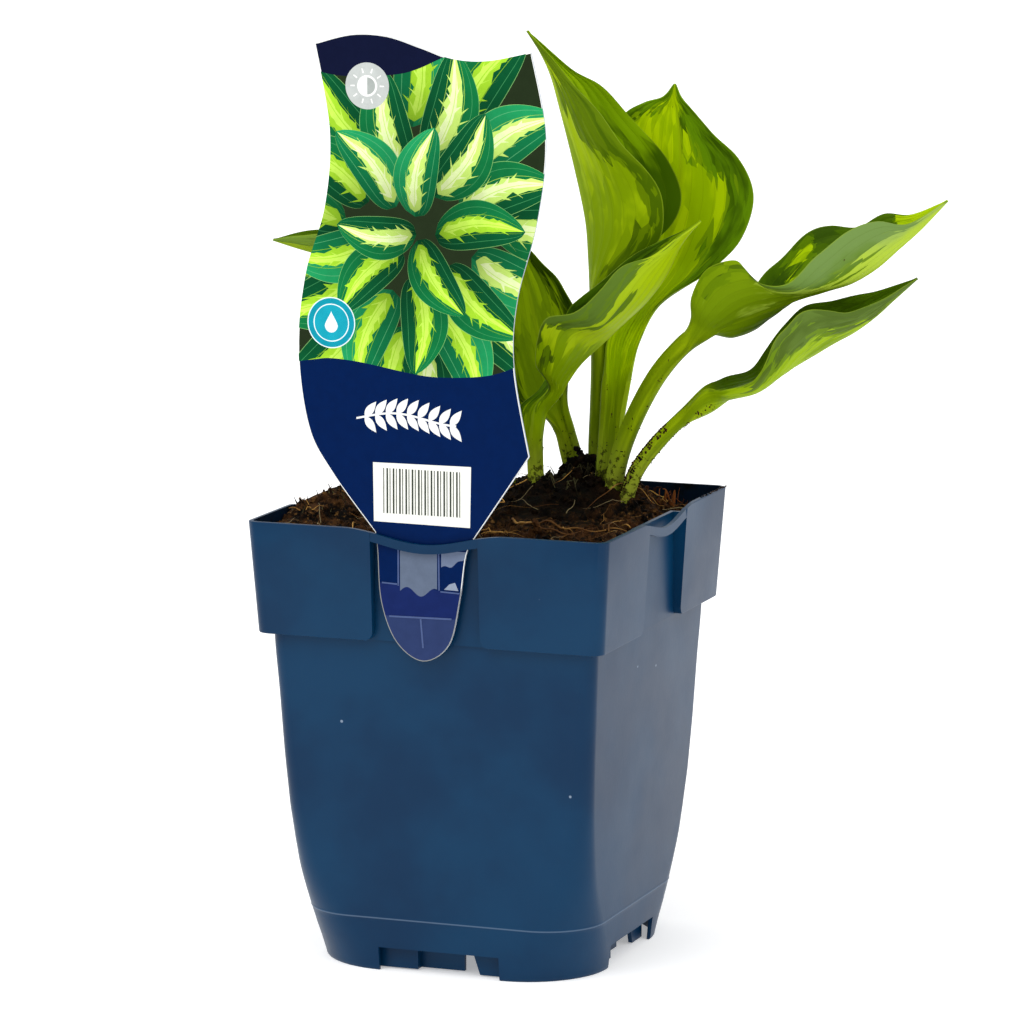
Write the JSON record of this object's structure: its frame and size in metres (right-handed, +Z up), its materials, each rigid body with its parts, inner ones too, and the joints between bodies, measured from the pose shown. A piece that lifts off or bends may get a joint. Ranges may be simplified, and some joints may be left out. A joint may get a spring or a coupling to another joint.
{
  "type": "potted hosta plant",
  "caption": "Young variegated hosta with upright folded leaves in a square tapered nursery pot filled with soil, with a flat plant label standing in the slot of the pot's collar.",
  "frame": {"origin": "centre of the pot's underside, on the ground: the flat end of the centre pad", "axes": "+Z up; -Y is the side of the pot with the label in its slot; +X is to the label's right, seen from the front"},
  "size_m": [0.1769, 0.1178, 0.2602],
  "materials": {
    "pot": "satin injection-moulded plastic, dark blue",
    "soil": "moist peat with coir fibres",
    "crown": "fleshy root crown",
    "label": "printed plastic sheet, glossy",
    "leaf": "waxy leaf, yellow-green with dark green margins",
    "leaf_under": "waxy leaf, bluish-green underside outwards"
  },
  "bodies": {
    "root": {"pot": "pot", "soil": "soil", "crown": "crown", "label": "label", "leaf_tall": "leaf", "leaf_broad": "leaf", "leaf_front": "leaf", "leaf_upper_right": "leaf_under", "leaf_lower_right": "leaf_under", "leaf_behind_label": "leaf", "leaf_left": "leaf_under"}
  },
  "joints": []
}
